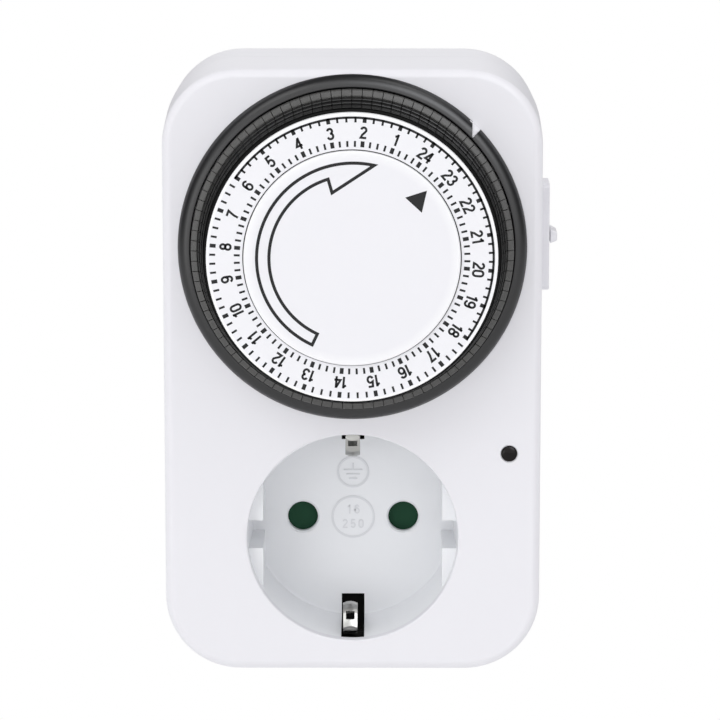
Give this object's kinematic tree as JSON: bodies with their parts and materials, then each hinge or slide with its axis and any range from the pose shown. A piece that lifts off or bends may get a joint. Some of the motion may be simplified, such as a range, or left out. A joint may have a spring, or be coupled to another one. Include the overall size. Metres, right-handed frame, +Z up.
{
  "type": "plug-in timer switch",
  "caption": "Plug-in mechanical timer: an earthed wall plug with a recessed outlet, a rotating dial ringed by push-down tabs, and a slide switch on its side.",
  "frame": {"origin": "midway between the two plug pins, on the flat end face of the plug nose", "axes": "+Y along the pins, into the wall socket; the front with the dial faces -Y; +Z up, from the outlet to the dial; +X to the right seen from the front"},
  "size_m": [0.0727, 0.0832, 0.113],
  "materials": {
    "white_plastic": "fine satin, moulded",
    "dark_plastic": "fine satin, moulded",
    "tab_plastic": "satin, moulded",
    "scale_white": "smooth satin, printed",
    "grey_plastic": "moulded",
    "gear_plastic": "natural acetal",
    "green_plastic": "moulded",
    "lens": "polished, dark when unlit",
    "lamp_glass": "clear",
    "nickel": "bright nickel plate",
    "brass": "plain sheet and bar",
    "spring_steel": "bright",
    "zinc_steel": "zinc plated"
  },
  "bodies": {
    "case": {"front_cover": "white_plastic", "rear_case": "white_plastic", "socket_cup": "white_plastic", "case_screws": "zinc_steel", "live_contact": "brass", "neutral_contact": "brass", "live_pin": "nickel", "neutral_pin": "nickel", "neutral_bar": "brass", "live_feed_bar": "brass", "switched_live_bar": "brass", "earth_strap": "nickel", "earth_clips": "nickel", "indicator_lens": "lens", "indicator_lamp": "lamp_glass", "dial_bezel": "dark_plastic", "centre_cap": "scale_white", "dial_post": "grey_plastic", "mechanism_plate": "zinc_steel", "gear_arbor": "spring_steel", "motor_can": "zinc_steel", "microswitch_body": "dark_plastic", "switch_frame": "white_plastic"},
    "dial": {"dial_drum": "dark_plastic", "scale_disc": "scale_white", "drive_ring": "dark_plastic"},
    "gear": {"reduction_gear": "gear_plastic"},
    "motor_rotor": {"motor_pinion": "brass"},
    "switch": {"switch_knob": "white_plastic"},
    "shutter": {"shutter": "green_plastic", "shutter_spring": "spring_steel"},
    "lever": {"trip_lever": "spring_steel"},
    "plunger": {"microswitch_plunger": "gear_plastic"},
    "tab_01": {"tabs_hour_01": "tab_plastic"},
    "tab_02": {"tabs_hour_02": "tab_plastic"},
    "tab_03": {"tabs_hour_03": "tab_plastic"},
    "tab_04": {"tabs_hour_04": "tab_plastic"},
    "tab_05": {"tabs_hour_05": "tab_plastic"},
    "tab_06": {"tabs_hour_06": "tab_plastic"},
    "tab_07": {"tabs_hour_07": "tab_plastic"},
    "tab_08": {"tabs_hour_08": "tab_plastic"},
    "tab_09": {"tabs_hour_09": "tab_plastic"},
    "tab_10": {"tabs_hour_10": "tab_plastic"},
    "tab_11": {"tabs_hour_11": "tab_plastic"},
    "tab_12": {"tabs_hour_12": "tab_plastic"},
    "tab_13": {"tabs_hour_13": "tab_plastic"},
    "tab_14": {"tabs_hour_14": "tab_plastic"},
    "tab_15": {"tabs_hour_15": "tab_plastic"},
    "tab_16": {"tabs_hour_16": "tab_plastic"},
    "tab_17": {"tabs_hour_17": "tab_plastic"},
    "tab_18": {"tabs_hour_18": "tab_plastic"},
    "tab_19": {"tabs_hour_19": "tab_plastic"},
    "tab_20": {"tabs_hour_20": "tab_plastic"},
    "tab_21": {"tabs_hour_21": "tab_plastic"},
    "tab_22": {"tabs_hour_22": "tab_plastic"},
    "tab_23": {"tabs_hour_23": "tab_plastic"},
    "tab_24": {"tabs_hour_24": "tab_plastic"}
  },
  "joints": [
    {"name": "dial_spin", "type": "hinge", "parent": "case", "child": "dial", "pos_m": [0, -0.052, 0.0545], "axis": [0, 1, 0], "continuous": true},
    {"name": "gear_spin", "type": "hinge", "parent": "case", "child": "gear", "pos_m": [-0.014, -0.042, 0.0405], "axis": [0, 1, 0], "continuous": true},
    {"name": "motor_spin", "type": "hinge", "parent": "case", "child": "motor_rotor", "pos_m": [-0.00973, -0.042, 0.05225], "axis": [0, 1, 0], "continuous": true},
    {"name": "tab_01_push", "type": "slide", "parent": "dial", "child": "tab_01", "axis": [0, 1, 0], "range_m": [0, 0.0025]},
    {"name": "tab_02_push", "type": "slide", "parent": "dial", "child": "tab_02", "axis": [0, 1, 0], "range_m": [0, 0.0025]},
    {"name": "tab_03_push", "type": "slide", "parent": "dial", "child": "tab_03", "axis": [0, 1, 0], "range_m": [0, 0.0025]},
    {"name": "tab_04_push", "type": "slide", "parent": "dial", "child": "tab_04", "axis": [0, 1, 0], "range_m": [0, 0.0025]},
    {"name": "tab_05_push", "type": "slide", "parent": "dial", "child": "tab_05", "axis": [0, 1, 0], "range_m": [0, 0.0025]},
    {"name": "tab_06_push", "type": "slide", "parent": "dial", "child": "tab_06", "axis": [0, 1, 0], "range_m": [0, 0.0025]},
    {"name": "tab_07_push", "type": "slide", "parent": "dial", "child": "tab_07", "axis": [0, 1, 0], "range_m": [0, 0.0025]},
    {"name": "tab_08_push", "type": "slide", "parent": "dial", "child": "tab_08", "axis": [0, 1, 0], "range_m": [0, 0.0025]},
    {"name": "tab_09_push", "type": "slide", "parent": "dial", "child": "tab_09", "axis": [0, 1, 0], "range_m": [0, 0.0025]},
    {"name": "tab_10_push", "type": "slide", "parent": "dial", "child": "tab_10", "axis": [0, 1, 0], "range_m": [0, 0.0025]},
    {"name": "tab_11_push", "type": "slide", "parent": "dial", "child": "tab_11", "axis": [0, 1, 0], "range_m": [0, 0.0025]},
    {"name": "tab_12_push", "type": "slide", "parent": "dial", "child": "tab_12", "axis": [0, 1, 0], "range_m": [0, 0.0025]},
    {"name": "tab_13_push", "type": "slide", "parent": "dial", "child": "tab_13", "axis": [0, 1, 0], "range_m": [0, 0.0025]},
    {"name": "tab_14_push", "type": "slide", "parent": "dial", "child": "tab_14", "axis": [0, 1, 0], "range_m": [0, 0.0025]},
    {"name": "tab_15_push", "type": "slide", "parent": "dial", "child": "tab_15", "axis": [0, 1, 0], "range_m": [0, 0.0025]},
    {"name": "tab_16_push", "type": "slide", "parent": "dial", "child": "tab_16", "axis": [0, 1, 0], "range_m": [0, 0.0025]},
    {"name": "tab_17_push", "type": "slide", "parent": "dial", "child": "tab_17", "axis": [0, 1, 0], "range_m": [0, 0.0025]},
    {"name": "tab_18_push", "type": "slide", "parent": "dial", "child": "tab_18", "axis": [0, 1, 0], "range_m": [0, 0.0025]},
    {"name": "tab_19_push", "type": "slide", "parent": "dial", "child": "tab_19", "axis": [0, 1, 0], "range_m": [0, 0.0025]},
    {"name": "tab_20_push", "type": "slide", "parent": "dial", "child": "tab_20", "axis": [0, 1, 0], "range_m": [0, 0.0025]},
    {"name": "tab_21_push", "type": "slide", "parent": "dial", "child": "tab_21", "axis": [0, 1, 0], "range_m": [0, 0.0025]},
    {"name": "tab_22_push", "type": "slide", "parent": "dial", "child": "tab_22", "axis": [0, 1, 0], "range_m": [0, 0.0025]},
    {"name": "tab_23_push", "type": "slide", "parent": "dial", "child": "tab_23", "axis": [0, 1, 0], "range_m": [0, 0.0025]},
    {"name": "tab_24_push", "type": "slide", "parent": "dial", "child": "tab_24", "axis": [0, 1, 0], "range_m": [0, 0.0025]},
    {"name": "switch_slide", "type": "slide", "parent": "case", "child": "switch", "axis": [0, 0, 1], "range_m": [-0.004, 0.004]},
    {"name": "shutter_turn", "type": "hinge", "parent": "case", "child": "shutter", "pos_m": [0, -0.032, 0], "axis": [0, 1, 0], "range_deg": [0, 42], "stiffness_Nm_per_rad": 0.0008, "springref_deg": -17.19},
    {"name": "lever_tilt", "type": "hinge", "parent": "case", "child": "lever", "pos_m": [0.0274, -0.04135, 0.0491], "axis": [-1, 0, 0], "range_deg": [0, 5.3], "stiffness_Nm_per_rad": 0.002, "springref_deg": -11.46},
    {"name": "plunger_slide", "type": "slide", "parent": "case", "child": "plunger", "axis": [0, 1, 0], "range_m": [0, 0.0006]}
  ],
  "couplings": [
    {"joint": "gear_spin", "follows": "dial_spin", "ratio": 6.5},
    {"joint": "motor_spin", "follows": "dial_spin", "ratio": -26},
    {"joint": "plunger_slide", "follows": "lever_tilt", "m_per_rad": 0.006}
  ]
}
